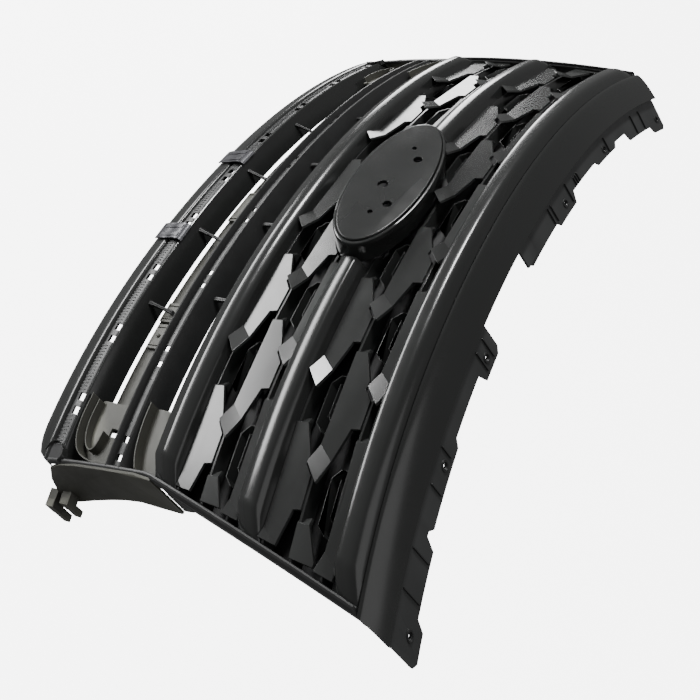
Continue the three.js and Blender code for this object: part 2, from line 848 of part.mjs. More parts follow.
addHeader();
addUpperBar();
addMiddleBars();
addLowerBar();
addBadge();
addLattice();
addBacking("upper_backing_panel", UPPER_BAR_FOOT + 4, BEHIND_MIDDLE_BAR + BACKING_WALL + FIT / 2);
addBacking("lower_backing_panel", BEHIND_MIDDLE_BAR - BACKING_WALL - FIT / 2, LOWER_BAR_TOP - 4);
addDivider();
addLip();
addLipTrim();
addRearRail();
addStruts();
addPockets();
addSideWalls();
addSideBrackets();
addFlanges();
addClips();

export default grille;
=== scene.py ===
"""The looks of a car front grille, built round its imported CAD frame.

Pieces are drawn flat as (x, d, h) in millimetres, x across the grille, d behind its face and h up
the face, and on_face() bends them onto the curved face in the frame's metres.
"""
import json
import math

import bmesh
import bpy
from mathutils import Matrix, Quaternion, Vector


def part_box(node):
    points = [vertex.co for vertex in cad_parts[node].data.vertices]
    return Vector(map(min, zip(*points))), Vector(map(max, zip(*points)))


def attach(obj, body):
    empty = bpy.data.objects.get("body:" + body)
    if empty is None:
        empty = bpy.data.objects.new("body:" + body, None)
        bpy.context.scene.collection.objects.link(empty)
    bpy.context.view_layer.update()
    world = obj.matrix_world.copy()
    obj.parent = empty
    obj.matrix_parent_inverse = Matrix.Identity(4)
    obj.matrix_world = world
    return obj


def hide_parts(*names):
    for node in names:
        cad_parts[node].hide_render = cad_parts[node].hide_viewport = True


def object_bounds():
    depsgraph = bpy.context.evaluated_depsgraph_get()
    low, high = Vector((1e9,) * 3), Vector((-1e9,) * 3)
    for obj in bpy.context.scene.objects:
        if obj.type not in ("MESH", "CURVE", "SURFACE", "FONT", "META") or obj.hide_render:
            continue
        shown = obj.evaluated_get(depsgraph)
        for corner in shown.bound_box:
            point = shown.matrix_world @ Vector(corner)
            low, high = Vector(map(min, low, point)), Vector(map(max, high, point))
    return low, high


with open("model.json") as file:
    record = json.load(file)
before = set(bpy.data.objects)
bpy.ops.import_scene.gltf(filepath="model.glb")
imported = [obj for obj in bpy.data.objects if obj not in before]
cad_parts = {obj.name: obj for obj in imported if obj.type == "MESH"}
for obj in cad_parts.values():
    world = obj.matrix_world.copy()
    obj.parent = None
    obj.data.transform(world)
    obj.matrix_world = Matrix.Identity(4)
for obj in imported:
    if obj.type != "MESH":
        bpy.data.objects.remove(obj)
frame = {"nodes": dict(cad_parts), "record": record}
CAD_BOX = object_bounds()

MM = 0.001
BODY = "root"

# ---- The face that all pieces follow, in mm ----
HALF_WIDTH = 500
LEAN = 0.5
BOW = 0.00046
PLAN_SAG = 90
PLAN_SAG_CORNER = 15
SAG_PER_HEIGHT = 0.045
END_DROP = 14
REST_UNDER = 113.9
REST_DEPTH = 76

# ---- Half the width of the opening at each height ----
WIDTH_AT_MIDDLE_BAR = 473
WIDTH_PER_HEIGHT = 0.18
WAIST = -145
WIDTH_PER_HEIGHT_BELOW = -0.1

# ---- Heights up the face ----
SEAM = 112
UPPER_BAR_FOOT = 87
MIDDLE_BAR_TOP = 4
MIDDLE_BAR_FOOT = -23
LOWER_BAR_TOP = -106
LOWER_BAR_FOOT = -137
DIVIDER_TOP = -182
DIVIDER_FOOT = -206
LIP_TOP = -279
LIP_FOOT = -348

# ---- Depths behind the face ----
BAR_DEPTH = 34
HEADER_BACK = 56
SKIN = 2.6
SCALE_DEPTH = 14
SHELF_DEPTH = 34

# ---- Badge pad ----
PAD_HALF_LENGTH = 119
PAD_HALF_HEIGHT = 49
PAD_THICK = 5
PAD_FRONT = -20
PAD_LEAN = math.radians(31)
COLLAR_DEPTH = 34
COLLAR_RIM = 5

STATIONS = 96  # cross-sections in a sweep from end to end
BEVEL_SEGMENTS = 2
BEVEL_ANGLE = 28
FIT = 0.4  # gap between neighbouring pieces
SIDES = (("right", 1), ("left", -1))


# ---------------------------------------------------------------------------------------------
# The face mapping


def half_width_at(h):
    if h > WAIST:
        return WIDTH_AT_MIDDLE_BAR + WIDTH_PER_HEIGHT * h
    waist_width = WIDTH_AT_MIDDLE_BAR + WIDTH_PER_HEIGHT * WAIST
    return waist_width + WIDTH_PER_HEIGHT_BELOW * (h - WAIST)


def laid_on_face(x, d, h):
    across = x / HALF_WIDTH
    sag = (PLAN_SAG + SAG_PER_HEIGHT * h) * across**2 + PLAN_SAG_CORNER * across**4
    return Vector((x, LEAN * h + BOW * h * h + sag + d, h - END_DROP * across**2))


ORIGIN = laid_on_face(0, REST_DEPTH, REST_UNDER)


def on_face(x, d, h):
    return (laid_on_face(x, d, h) - ORIGIN) * MM


# ---------------------------------------------------------------------------------------------
# Camera, lights and floor

SENSOR_WIDTH = 36
LENS = 45.29
CAMERA_PLACE = (0.7802, -0.5444, 0.6300)
CAMERA_RIGHT = (-0.4555, 0.5554, 0.6957)
CAMERA_FORWARD = (-0.5353, 0.4535, -0.7126)

WORLD_LIGHT = 0.21
FRONT_STRIP = (-0.4, -2.5, -1.13)
FRONT_STRIP_TILT = math.radians(5)
# The lights that are turned towards the grille: name, place, size and power.
SOFTBOXES = (
    ("far_side", (-2.3, -0.9, -1.0), (0.9, 0.7), 30),
    ("edge_light", (-1.18, -1.75, 0.8), (0.6, 0.3), 50),
    ("overhead", (0.3, 0.3, 2.4), (1.6, 1.6), 9),
)

FLOOR_HALF = 30
FLOOR_DROP = 1.0
FLOOR_GLOW = 6


def make_camera():
    data = bpy.data.cameras.new("camera")
    data.sensor_width = SENSOR_WIDTH
    data.lens = LENS
    camera = bpy.data.objects.new("camera", data)
    right = Vector(CAMERA_RIGHT).normalized()
    forward = Vector(CAMERA_FORWARD).normalized()
    up = right.cross(forward).normalized()
    right = forward.cross(up).normalized()
    turn = Matrix((right, up, -forward)).transposed()
    camera.matrix_world = Matrix.Translation(CAMERA_PLACE) @ turn.to_4x4()
    bpy.context.scene.collection.objects.link(camera)
    bpy.context.scene.camera = camera


def add_softbox(name, place, target, size, power, tilt=0.0):
    """A rectangular soft light at place, turned towards target and tilted in its own plane."""
    data = bpy.data.lights.new(name, "AREA")
    data.shape = "RECTANGLE"
    data.size, data.size_y = size
    data.energy = power
    light = bpy.data.objects.new(name, data)
    light.location = place
    away = Vector(place) - Vector(target)
    light.rotation_mode = "QUATERNION"
    light.rotation_quaternion = away.to_track_quat("Z", "Y") @ Quaternion((0, 0, 1), tilt)
    light.visible_camera = False
    bpy.context.scene.collection.objects.link(light)


def make_studio():
    world = bpy.data.worlds.new("studio")
    world.use_nodes = True
    background = world.node_tree.nodes["Background"]
    background.inputs["Color"].default_value = (1.0, 1.0, 1.0, 1)
    background.inputs["Strength"].default_value = WORLD_LIGHT
    bpy.context.scene.world = world
    straight_on = Vector(FRONT_STRIP) + Vector((0, 1, 0))
    add_softbox("front_strip", FRONT_STRIP, straight_on, (2.4, 0.82), 125, FRONT_STRIP_TILT)
    middle = (CAD_BOX[0] + CAD_BOX[1]) / 2
    for name, place, size, power in SOFTBOXES:
        add_softbox(name, place, middle, size, power)


def make_floor():
    """A pale floor that only the camera sees, so that its white doesn't shine in the plastic."""
    size = FLOOR_HALF
    low = CAD_BOX[0].z - FLOOR_DROP
    mesh = bpy.data.meshes.new("floor")
    corners = [(-size, -size, low), (size, -size, low), (size, size, low), (-size, size, low)]
    mesh.from_pydata(corners, [], [(0, 1, 2, 3)])
    floor = bpy.data.objects.new("floor", mesh)
    bpy.context.scene.collection.objects.link(floor)
    material = bpy.data.materials.new("pale_floor")
    material.use_nodes = True
    shader = material.node_tree.nodes["Principled BSDF"]
    shader.inputs["Base Color"].default_value = (0.9, 0.9, 0.9, 1)
    shader.inputs["Roughness"].default_value = 0.9
    shader.inputs["Emission Color"].default_value = (1, 1, 1, 1)
    shader.inputs["Emission Strength"].default_value = FLOOR_GLOW
    mesh.materials.append(material)
    floor.visible_glossy = False
    floor.visible_diffuse = False


# ---------------------------------------------------------------------------------------------
# Materials

CLOUD_SCALE = 7
CLOUD_SPREAD = 0.12
GLOSS_SCALE = 38
EDGE_HIGHLIGHT_RISE = 7  # how many times paler a painted edge highlight is
EDGE_HIGHLIGHT_FROM = 0.54
EDGE_HIGHLIGHT_TO = 0.66


def plastic(name, colour, rough, rough_spread, grain_scale, grain_height, edge_highlight=0.0, metal=0.0):
    """Moulded plastic: cloudy tone, uneven gloss, a fine grain and paler convex edges, a painted
    edge highlight.
    """
    material = bpy.data.materials.new(name)
    material.use_nodes = True
    tree = material.node_tree
    shader = tree.nodes["Principled BSDF"]
    shader.inputs["Metallic"].default_value = metal
    place = tree.nodes.new("ShaderNodeTexCoord")

    def noise(scale, detail):
        node = tree.nodes.new("ShaderNodeTexNoise")
        node.inputs["Scale"].default_value = scale
        node.inputs["Detail"].default_value = detail
        tree.links.new(place.outputs["Object"], node.inputs["Vector"])
        return node.outputs["Fac"]

    def spread(value, low, high):
        node = tree.nodes.new("ShaderNodeMapRange")
        node.inputs["From Min"].default_value = 0.3
        node.inputs["From Max"].default_value = 0.7
        node.inputs["To Min"].default_value = low
        node.inputs["To Max"].default_value = high
        tree.links.new(value, node.inputs["Value"])
        return node.outputs["Result"]

    cloud = noise(CLOUD_SCALE, 4)
    tone = tree.nodes.new("ShaderNodeMix")
    tone.data_type = "RGBA"
    tone.inputs["A"].default_value = (*[c * (1 - CLOUD_SPREAD) for c in colour], 1)
    tone.inputs["B"].default_value = (*[c * (1 + CLOUD_SPREAD) for c in colour], 1)
    tree.links.new(cloud, tone.inputs["Factor"])
    surface = tone.outputs["Result"]
    # Convex edges, found by Pointiness, are painted paler: a painted edge highlight.
    if edge_highlight:
        edges = tree.nodes.new("ShaderNodeNewGeometry")
        ramp = tree.nodes.new("ShaderNodeValToRGB")
        ramp.color_ramp.elements[0].position = EDGE_HIGHLIGHT_FROM
        ramp.color_ramp.elements[1].position = EDGE_HIGHLIGHT_TO
        tree.links.new(edges.outputs["Pointiness"], ramp.inputs["Fac"])
        amount = tree.nodes.new("ShaderNodeMath")
        amount.operation = "MULTIPLY"
        amount.inputs[1].default_value = edge_highlight
        tree.links.new(ramp.outputs["Color"], amount.inputs[0])
        highlit_edge_mix = tree.nodes.new("ShaderNodeMix")
        highlit_edge_mix.data_type = "RGBA"
        highlit_edge_mix.inputs["B"].default_value = (*[min(1, c * EDGE_HIGHLIGHT_RISE) for c in colour], 1)
        tree.links.new(amount.outputs["Value"], highlit_edge_mix.inputs["Factor"])
        tree.links.new(surface, highlit_edge_mix.inputs["A"])
        surface = highlit_edge_mix.outputs["Result"]
    tree.links.new(surface, shader.inputs["Base Color"])
    gloss = spread(noise(GLOSS_SCALE, 5), rough - rough_spread, rough + rough_spread)
    tree.links.new(gloss, shader.inputs["Roughness"])
    bump = tree.nodes.new("ShaderNodeBump")
    bump.inputs["Strength"].default_value = 1.0
    bump.inputs["Distance"].default_value = grain_height
    tree.links.new(noise(grain_scale, 3), bump.inputs["Height"])
    tree.links.new(bump.outputs["Normal"], shader.inputs["Normal"])
    return material


def make_materials():
    return {
        "satin_plastic": plastic(
            "satin_plastic", (0.020, 0.0208, 0.0203), 0.2, 0.02, 420, 0.0000012, 0.35),
        "grained_plastic": plastic(
            "grained_plastic", (0.015, 0.0155, 0.0155), 0.45, 0.05, 1100, 0.00005, 0.5),
        "backing_plastic": plastic(
            "backing_plastic", (0.008, 0.008, 0.0085), 0.6, 0.05, 900, 0.00008),
        "inner_plastic": plastic(
            "inner_plastic", (0.045, 0.045, 0.037), 0.5, 0.06, 800, 0.00008, 0.4),
        "spring_steel": plastic(
            "spring_steel", (0.05, 0.05, 0.055), 0.36, 0.05, 700, 0.00002, 0.5, metal=0.5),
    }


def finish_of(node):
    slots = {s["node"]: s["material_slot"] for s in frame["record"]["subparts"]}
    return slots[node]


# ---------------------------------------------------------------------------------------------
# Mesh helpers


def new_piece(name, verts, faces, slot, stands_for=(), bevel=0.0, smooth=35):
    mesh = bpy.data.meshes.new(name)
    mesh.from_pydata([tuple(v) for v in verts], [], faces)
    clean(mesh)
    piece = bpy.data.objects.new(name, mesh)
    bpy.context.scene.collection.objects.link(piece)
    mesh.materials.append(MATERIALS[slot])
    if bevel:
        add_bevel(piece, bevel)
    smooth_by_angle(mesh, smooth)
    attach(piece, BODY)
    if stands_for:
        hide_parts(*stands_for)
    return piece


def clean(mesh):
    """Merge shared corners and turn all faces outward."""
    work = bmesh.new()
    work.from_mesh(mesh)
    bmesh.ops.remove_doubles(work, verts=work.verts, dist=1e-7)
    bmesh.ops.recalc_face_normals(work, faces=work.faces)
    work.to_mesh(mesh)
    work.free()


def smooth_by_angle(mesh, degrees):
    mesh.shade_smooth()
    mesh.set_sharp_from_angle(angle=math.radians(degrees))


def add_bevel(piece, width_mm):
    bevel = piece.modifiers.new("rounded_edges", "BEVEL")
    bevel.width = width_mm * MM
    bevel.segments = BEVEL_SEGMENTS
    bevel.limit_method = "ANGLE"
    bevel.angle_limit = math.radians(BEVEL_ANGLE)
    bevel.harden_normals = True
    return bevel


def cut(piece, cutter):
    """Take cutter's space out of piece, and remove cutter."""
    hole = piece.modifiers.new("holes", "BOOLEAN")
    hole.operation = "DIFFERENCE"
    hole.solver = "EXACT"
    hole.object = cutter
    bpy.context.view_layer.update()
    evaluated = piece.evaluated_get(bpy.context.evaluated_depsgraph_get())
    result = bpy.data.meshes.new_from_object(evaluated)
    piece.modifiers.clear()
    result.name = piece.name
    piece.data = result
    bpy.data.objects.remove(cutter)
    return piece


class Body:
    """Gathers several closed bodies into one mesh."""

    def __init__(self):
        self.verts = []
        self.faces = []

    def add(self, verts, faces):
        start = len(self.verts)
        self.verts += list(verts)
        self.faces += [tuple(i + start for i in face) for face in faces]

    def loft(self, rings):
        """A closed body through equal-length rings of placed points."""
        count = len(rings[0])
        faces = []
        for r in range(len(rings) - 1):
            for i in range(count):
                j = (i + 1) % count
                a, b = r * count, (r + 1) * count
                faces.append((a + i, a + j, b + j, b + i))
        last = (len(rings) - 1) * count
        faces.append(tuple(range(count))[::-1])
        faces.append(tuple(range(last, last + count)))
        self.add([p for ring in rings for p in ring], faces)

    def sweep(self, profile, start, end, inset=0.0, chamfer=None, ends=(1, 1), shaped=None):
        """Carry a closed profile of (h, d) across the grille, from share start to share end."""
        count = max(2, round(STATIONS * (end - start) / 2))
        shares = [start + (end - start) * i / count for i in range(count + 1)]
        if chamfer:
            step = chamfer[0] / WIDTH_AT_MIDDLE_BAR
            shares = [
                t for t in shares
                if not (ends[1] and end - step * 1.15 < t < end)
                and not (ends[0] and start < t < start + step * 1.15)
            ]
            shares += [end - step] if ends[1] else []
            shares += [start + step] if ends[0] else []
            shares.sort()
        rings = []
        for i, t in enumerate(shares):
            at_end = (i == 0 and ends[0]) or (i == len(shares) - 1 and ends[1])
            back = chamfer[1] if chamfer and at_end else 0
            ring = []
            for h, d in profile:
                fall = back * max(0.0, 1 - max(0.0, d) / BAR_DEPTH)
                height = shaped(t, h) if shaped else h
                x = t * (half_width_at(height) - inset)
                ring.append(on_face(x, d + fall, height))
            rings.append(ring)
        self.loft(rings)

    def strip(self, profile, x0, x1, steps=2):
        """Carry a closed profile of (h, d) from x0 to x1."""
        xs = [x0 + (x1 - x0) * i / steps for i in range(steps + 1)]
        self.loft([[on_face(x, d, h) for h, d in profile] for x in xs])

    def plate(self, outline, front, back):
        """An upright plate of (x, h) points, each with its own front depth if front is a list."""
        fronts = front if isinstance(front, (list, tuple)) else [front] * len(outline)
        near = [on_face(x, f, h) for (x, h), f in zip(outline, fronts)]
        far = [on_face(x, f + back, h) for (x, h), f in zip(outline, fronts)]
        self.loft([near, far])

    def shelf(self, outline, low, high):
        """A level plate of (x, d) points."""
        self.loft([[on_face(x, d, h) for x, d in outline] for h in (low, high)])

    def block(self, x0, x1, d0, d1, h0, h1):
        self.shelf([(x0, d0), (x1, d0), (x1, d1), (x0, d1)], h0, h1)

    def ribbon(self, line, thick, front, back):
        """A thin wall that follows an open line of (x, h) points, between two depths."""
        self.plate(wall(line, thick), front, back - front)

    def piece(self, name, slot, stands_for=(), bevel=0.0, smooth=35):
        return new_piece(name, self.verts, self.faces, slot, stands_for, bevel, smooth)

    def cutter(self):
        mesh = bpy.data.meshes.new("cutter")
        mesh.from_pydata([tuple(v) for v in self.verts], [], self.faces)
        clean(mesh)
        tool = bpy.data.objects.new("cutter", mesh)
        bpy.context.scene.collection.objects.link(tool)
        return tool


def softened(line, rounds=3):
    """An open line with its corners cut again and again, so that it runs as a smooth curve."""
    for _ in range(rounds):
        points = [line[0]]
        for a, b in zip(line, line[1:]):
            points.append(tuple(0.75 * p + 0.25 * q for p, q in zip(a, b)))
            points.append(tuple(0.25 * p + 0.75 * q for p, q in zip(a, b)))
        points.append(line[-1])
        line = points
    return line


def rounded(outline, radius, steps=4):
    """A closed outline with every corner rounded."""
    points = []
    count = len(outline)
    for i, corner in enumerate(outline):
        before = Vector(outline[i - 1]) - Vector(corner)
        after = Vector(outline[(i + 1) % count]) - Vector(corner)
        reach = min(radius, before.length * 0.45, after.length * 0.45)
        a = Vector(corner) + before.normalized() * reach
        b = Vector(corner) + after.normalized() * reach
        for k in range(steps + 1):
            t = k / steps
            p = a * (1 - t) ** 2 + Vector(corner) * 2 * t * (1 - t) + b * t**2
            points.append((p.x, p.y))
    return points


def wall(line, thick=SKIN):
    """The closed outline of a wall that follows an open line."""
    inner = []
    for i, point in enumerate(line):
        a = line[max(0, i - 1)]
        b = line[min(len(line) - 1, i + 1)]
        run = (b[0] - a[0], b[1] - a[1])
        size = math.hypot(*run) or 1
        inner.append((point[0] + thick * run[1] / size, point[1] - thick * run[0] / size))
    return list(line) + inner[::-1]


def circle(x, y, radius, steps=32):
    turns = [2 * math.pi * i / steps for i in range(steps)]
    return [(x + radius * math.cos(a), y + radius * math.sin(a)) for a in turns]


# ---------------------------------------------------------------------------------------------
# Bars and header

BAR_END = (22, 13)
BAR_INSET = 4.2
BAR_FRONT = -3


def build_bar(node, line, start=-1.0, end=1.0, ends=(1, 1)):
    body = Body()
    profile = wall(softened(line))
    body.sweep(profile, start, end, inset=BAR_INSET, chamfer=BAR_END, ends=ends)
    body.piece(f"{node}_surface", "satin_plastic", [node], smooth=40)


def ridged_line(top, foot, ridge, flank):
    """A level top wall, a ridge some way under it, and a flank that leans back to the foot."""
    return [
        (top, BAR_DEPTH), (top, 8), (top - 0.6, 3), (top - 0.45 * ridge, BAR_FRONT + 1.2),
        (top - ridge, BAR_FRONT), (top - ridge - flank, BAR_FRONT + 0.14 * flank),
        (foot + 3.5, 2.2), (foot + 0.6, 4.4), (foot, 9), (foot, BAR_DEPTH)]


def build_bars():
    build_bar("upper_bar", [
        (SEAM, 30), (SEAM, 11), (SEAM - 1.5, 3), (SEAM - 4.5, -1.6), (SEAM - 8, BAR_FRONT),
        (SEAM - 14, -2.4), (SEAM - 20, -1), (UPPER_BAR_FOOT + 1.5, 1.8), (UPPER_BAR_FOOT, 6),
        (UPPER_BAR_FOOT, BAR_DEPTH)])
    middle = ridged_line(MIDDLE_BAR_TOP, MIDDLE_BAR_FOOT, 6, 9)
    start = (PAD_HALF_LENGTH + COLLAR_RIM + 4) / WIDTH_AT_MIDDLE_BAR
    build_bar("middle_bar_right", middle, start, 1, (0, 1))
    build_bar("middle_bar_left", middle, -1, -start, (1, 0))
    build_bar("lower_bar", ridged_line(LOWER_BAR_TOP, LOWER_BAR_FOOT, 12, 4))


def build_header():
    outer = softened([
        (SEAM + 0.8, 11), (SEAM + 3.4, 12.5), (SEAM + 6.5, 21), (SEAM + 9, 34),
        (SEAM + 10.8, HEADER_BACK - 2)], 2)
    inner = softened([
        (SEAM + 7, HEADER_BACK - 2), (SEAM + 6.8, 34.5), (SEAM + 4.4, 22.5), (SEAM + 3, 16)], 2)
    back = [(SEAM + 7.5, HEADER_BACK)]
    profile = [(SEAM + 0.8, 24)] + outer + back + inner + [(SEAM + 3, 24)]
    body = Body()
    body.sweep(profile, -1, 1, inset=-4)
    body.piece("header_panel_surface", "satin_plastic", ["header_panel"], bevel=0.5, smooth=24)


# ---------------------------------------------------------------------------------------------
# Badge pad

# Each hole is its place on the pad and its radius.
PAD_HOLES = ((-46, 17, 6), (46, 17, 6), (13, -5, 7), (-66, 3, 3.6), (66, 3, 3.6))


def oval(half_length, half_height, steps=128):
    turns = [2 * math.pi * i / steps for i in range(steps)]
    return [(half_length * math.cos(a), half_height * math.sin(a)) for a in turns]


def on_pad(px, py, depth):
    """A point on the pad's own plane, depth behind its face."""
    centre = on_face(0, PAD_FRONT, 0)
    up = Vector((0, math.sin(PAD_LEAN), math.cos(PAD_LEAN)))
    inward = Vector((0, math.cos(PAD_LEAN), -math.sin(PAD_LEAN)))
    return centre + (Vector((px, 0, 0)) + up * py + inward * depth) * MM


def pad_ring(half_length, half_height, depth, steps=128):
    return [on_pad(x, y, depth) for x, y in oval(half_length, half_height, steps)]


def ring_body(body, rings):
    """Close a tube of rings on itself."""
    count = len(rings[0])
    total = len(rings)
    faces = []
    for r in range(total):
        a, b = r * count, ((r + 1) % total) * count
        for i in range(count):
            j = (i + 1) % count
            faces.append((a + i, a + j, b + j, b + i))
    body.add([p for ring in rings for p in ring], faces)


def build_badge():
    length, height = PAD_HALF_LENGTH, PAD_HALF_HEIGHT
    face = Body()
    edge = [(0.0, 1.6), (0.3, 0.7), (0.9, 0.15), (1.8, 0.0)]
    rings = [pad_ring(length - inset, height - inset, depth) for inset, depth in edge]
    face.loft([pad_ring(length, height, PAD_THICK)] + rings)
    pad = face.piece("badge_pad_surface", "satin_plastic", ["badge_pad"], smooth=30)
    holes = Body()
    for x, y, radius in PAD_HOLES:
        rim = circle(x, y, radius)
        holes.loft([[on_pad(px, py, depth) for px, py in rim] for depth in (-3, PAD_THICK + 3)])
    cut(pad, holes.cutter())
    add_bevel(pad, 0.5)
    smooth_by_angle(pad.data, 30)

    collar = Body()
    rim = COLLAR_RIM
    section = [
        (0.5, 5.2), (0.5, 3.2), (1.2, 2.6), (rim - 2.2, 2.5), (rim - 0.7, 3.2), (rim, 4.8),
        (rim, 10), (rim - 0.8, COLLAR_DEPTH), (rim - 3.5, COLLAR_DEPTH), (-4, COLLAR_DEPTH),
        (-4.5, 9), (-4, 5.8)]
    ring_body(collar, [pad_ring(length + out, height + out, depth) for out, depth in section])
    collar.piece("badge_collar_surface", "satin_plastic", ["badge_collar"], smooth=30)


# ---------------------------------------------------------------------------------------------
# Lattice: staggered rows of folded scales

SCALE_PITCH = 197
ROWS_LOWER = (-105, -72, -39)
ROWS_UPPER = (5, 37, 70)
SCALE_SHIFT = -4
UPPER_SHIFT = 13
SCALE_THICK = 3.2

# The flat of a scale about its middle: foot, folded near corner, neck and far corner.
FLAT = [(-64, 0), (50, 0), (64, 15), (34, 22), (24, 24), (19, 40), (-3, 40), (-24, 24),
        (-34, 25), (-66, 12)]
# The near end folds forward from the line between the flat's second and third points.
WING = [(50, 0), (76, 0), (94, 14), (64, 15)]
WING_FORWARD = -12
# The far end folds back a little, which leaves it blunt.
TUCK = [(-64, 0), (-66, 12), (-76, 8), (-70, -4)]
TUCK_BACK = 8
# Two thin walls hang under each foot, one inside the other.
OUTER_RIB = [(-32, 0), (-32, -6), (-20, -14), (28, -14), (36, -6)]
INNER_RIB = [(-24, 0), (-24, -7), (15, -7), (22, -2)]
RIB_THICK = 0.8
SCALES_EACH_WAY = 3
ROW_INSET = 6
SCALE_INSET = 8
SHELF_THICK = 2.4
ROW_BEVEL = 0.45
COLLAR_ROOM = 0.6
# Scales that the badge pad covers: how near the middle they are, and between which heights.
BADGE_HIDES = (60, -40, 20)
# Rows between these heights are cut away round the collar.
BADGE_ROWS = (-100, 60)


def clipped(points, low, high, top):
    """Keep the part of an outline of (x, h, d) between two x limits and under a top height."""

    def cut_side(polygon, inside, axis, value):
        kept = []
        for i, p in enumerate(polygon):
            q = polygon[(i + 1) % len(polygon)]
            if inside(p):
                kept.append(p)
            if inside(p) != inside(q):
                t = (value - p[axis]) / (q[axis] - p[axis])
                kept.append(tuple(a + t * (b - a) for a, b in zip(p, q)))
        return kept

    points = cut_side(points, lambda p: p[0] <= high, 0, high)
    points = cut_side(points, lambda p: p[0] >= low, 0, low)
    points = cut_side(points, lambda p: p[1] <= top, 1, top)
    return [
        p for i, p in enumerate(points)
        if (Vector(p) - Vector(points[(i + 1) % len(points)])).length > 0.05
    ]


def add_facet(body, outline, depths, limit, top, middle, foot):
    points = [(middle + x, foot + h, d) for (x, h), d in zip(outline, depths)]
    kept = clipped(points, -limit, limit, top)
    if len(kept) < 3:
        return
    flat = [(x, h) for x, h, _ in kept]
    body.plate(flat, [d for _, _, d in kept], SCALE_THICK)


def add_scale(body, middle, foot, limit, top):
    near = SCALE_DEPTH
    add_facet(body, FLAT, [near] * len(FLAT), limit, top, middle, foot)
    forward = near + WING_FORWARD
    add_facet(body, WING, [near, forward, forward, near], limit, top, middle, foot)
    back = near + TUCK_BACK
    add_facet(body, TUCK, [near, near, back, back], limit, top, middle, foot)


def add_ribs(body, middle, foot, limit):
    for line, depth in ((OUTER_RIB, SCALE_DEPTH + 3), (INNER_RIB, SCALE_DEPTH + 7)):
        placed = [(middle + x, foot + h) for x, h in line if abs(middle + x) < limit]
        if len(placed) > 2:
            body.ribbon(placed, RIB_THICK, depth, SHELF_DEPTH + 4)


def behind_badge(middle, foot):
    half_length, low, high = BADGE_HIDES
    return abs(middle) < half_length and low < foot < high


def build_row(node, foot, odd, top, shift):
    body = Body()
    reach = (half_width_at(foot) - ROW_INSET) / half_width_at(foot)
    shelf_top = foot + SHELF_THICK
    shelf = [(foot, SCALE_DEPTH + 2), (shelf_top, SCALE_DEPTH + 2),
             (shelf_top, SHELF_DEPTH), (foot, SHELF_DEPTH)]
    body.sweep(shelf, -reach, reach)
    limit = half_width_at(foot) - SCALE_INSET
    first = 0 if odd else SCALE_PITCH / 2
    for k in range(-SCALES_EACH_WAY, SCALES_EACH_WAY + 1):
        middle = first + k * SCALE_PITCH + shift + SCALE_SHIFT
        if behind_badge(middle - shift - SCALE_SHIFT, foot):
            continue
        add_scale(body, middle, foot, limit, top)
        add_ribs(body, middle, foot, limit)
    piece = body.piece(f"{node}_surface", "satin_plastic", [node], bevel=ROW_BEVEL)
    low, high = BADGE_ROWS
    if low < foot < high:
        room = Body()
        gap = COLLAR_RIM + COLLAR_ROOM
        length, height = PAD_HALF_LENGTH + gap, PAD_HALF_HEIGHT + gap
        room.loft([pad_ring(length, height, depth) for depth in (-15, COLLAR_DEPTH + 30)])
        cut_under_bevel(piece, room.cutter(), ROW_BEVEL)


def cut_under_bevel(piece, cutter, bevel):
    """Cut first and round the edges after, so that the cut's own edges are rounded too."""
    piece.modifiers.clear()
    cut(piece, cutter)
    smooth_by_angle(piece.data, 35)
    add_bevel(piece, bevel)


def build_lattice():
    zones = (
        ("lower", ROWS_LOWER, 0, MIDDLE_BAR_FOOT - 1),
        ("upper", ROWS_UPPER, UPPER_SHIFT, UPPER_BAR_FOOT - 1),
    )
    for zone, rows, shift, roof in zones:
        for i, foot in enumerate(rows):
            top = rows[i + 1] - FIT if i + 1 < len(rows) else roof
            build_row(f"{zone}_lattice_row_{i + 1}", foot, i % 2 == 0, top, shift)


# ---------------------------------------------------------------------------------------------
# Divider

HOLE_PAIR_PITCH = 121
HOLE_SPREAD = 11
DIVIDER_WEB = 18.5
PIP_RADIUS = 1.0
PIP_SPREAD = 33
HOLE_HALF = 4
HOLE_HIGH = 12
HOLE_DROP = 19.5  # from the divider's top to a hole's foot
HOLES_WITHIN = 440
WEB_CUT = (14, 26)  # depths that a cut through the web spans


def build_divider():
    top, foot = DIVIDER_TOP, DIVIDER_FOOT
    profile = [
        (top + 3, 42), (top, 12), (top - 0.4, 10.4), (top - 1.6, 9.5), (top - 2.8, 10.1),
        (top - 3.2, 11.4),
        (top - 4, DIVIDER_WEB), (foot + 4, DIVIDER_WEB), (foot + 3.2, 11.4),
        (foot + 2.8, 10.1), (foot + 1.6, 9.5), (foot + 0.4, 10.4), (foot, 12), (foot, 20.5),
        (top - 2, 20.5),
        (top + 1, 42)]
    body = Body()
    body.sweep(profile, -1, 1, inset=1)
    piece = body.piece("divider_bar_surface", "grained_plastic", ["divider_bar"], smooth=50)
    holes = Body()
    low = top - HOLE_DROP
    for k in range(-4, 4):
        middle = (k + 0.5) * HOLE_PAIR_PITCH
        for side in (-HOLE_SPREAD, HOLE_SPREAD):
            add_hole(holes, middle + side, low)
        for pip in (-PIP_SPREAD, PIP_SPREAD):
            pip_ring = circle(middle + pip, foot + 6.5, PIP_RADIUS, 12)
            holes.loft([[on_face(x, d, h) for x, h in pip_ring] for d in WEB_CUT])
    cut_under_bevel(piece, holes.cutter(), 0.25)


def add_hole(holes, x, low):
    if abs(x) > HOLES_WITHIN:
        return
    left, right, high = x - HOLE_HALF, x + HOLE_HALF, low + HOLE_HIGH
    outline = rounded([(left, low), (right, low), (right, high), (left, high)], 1)
    holes.loft([[on_face(px, d, h) for px, h in outline] for d in WEB_CUT])


# ---------------------------------------------------------------------------------------------
# Lower lip and its trim strip

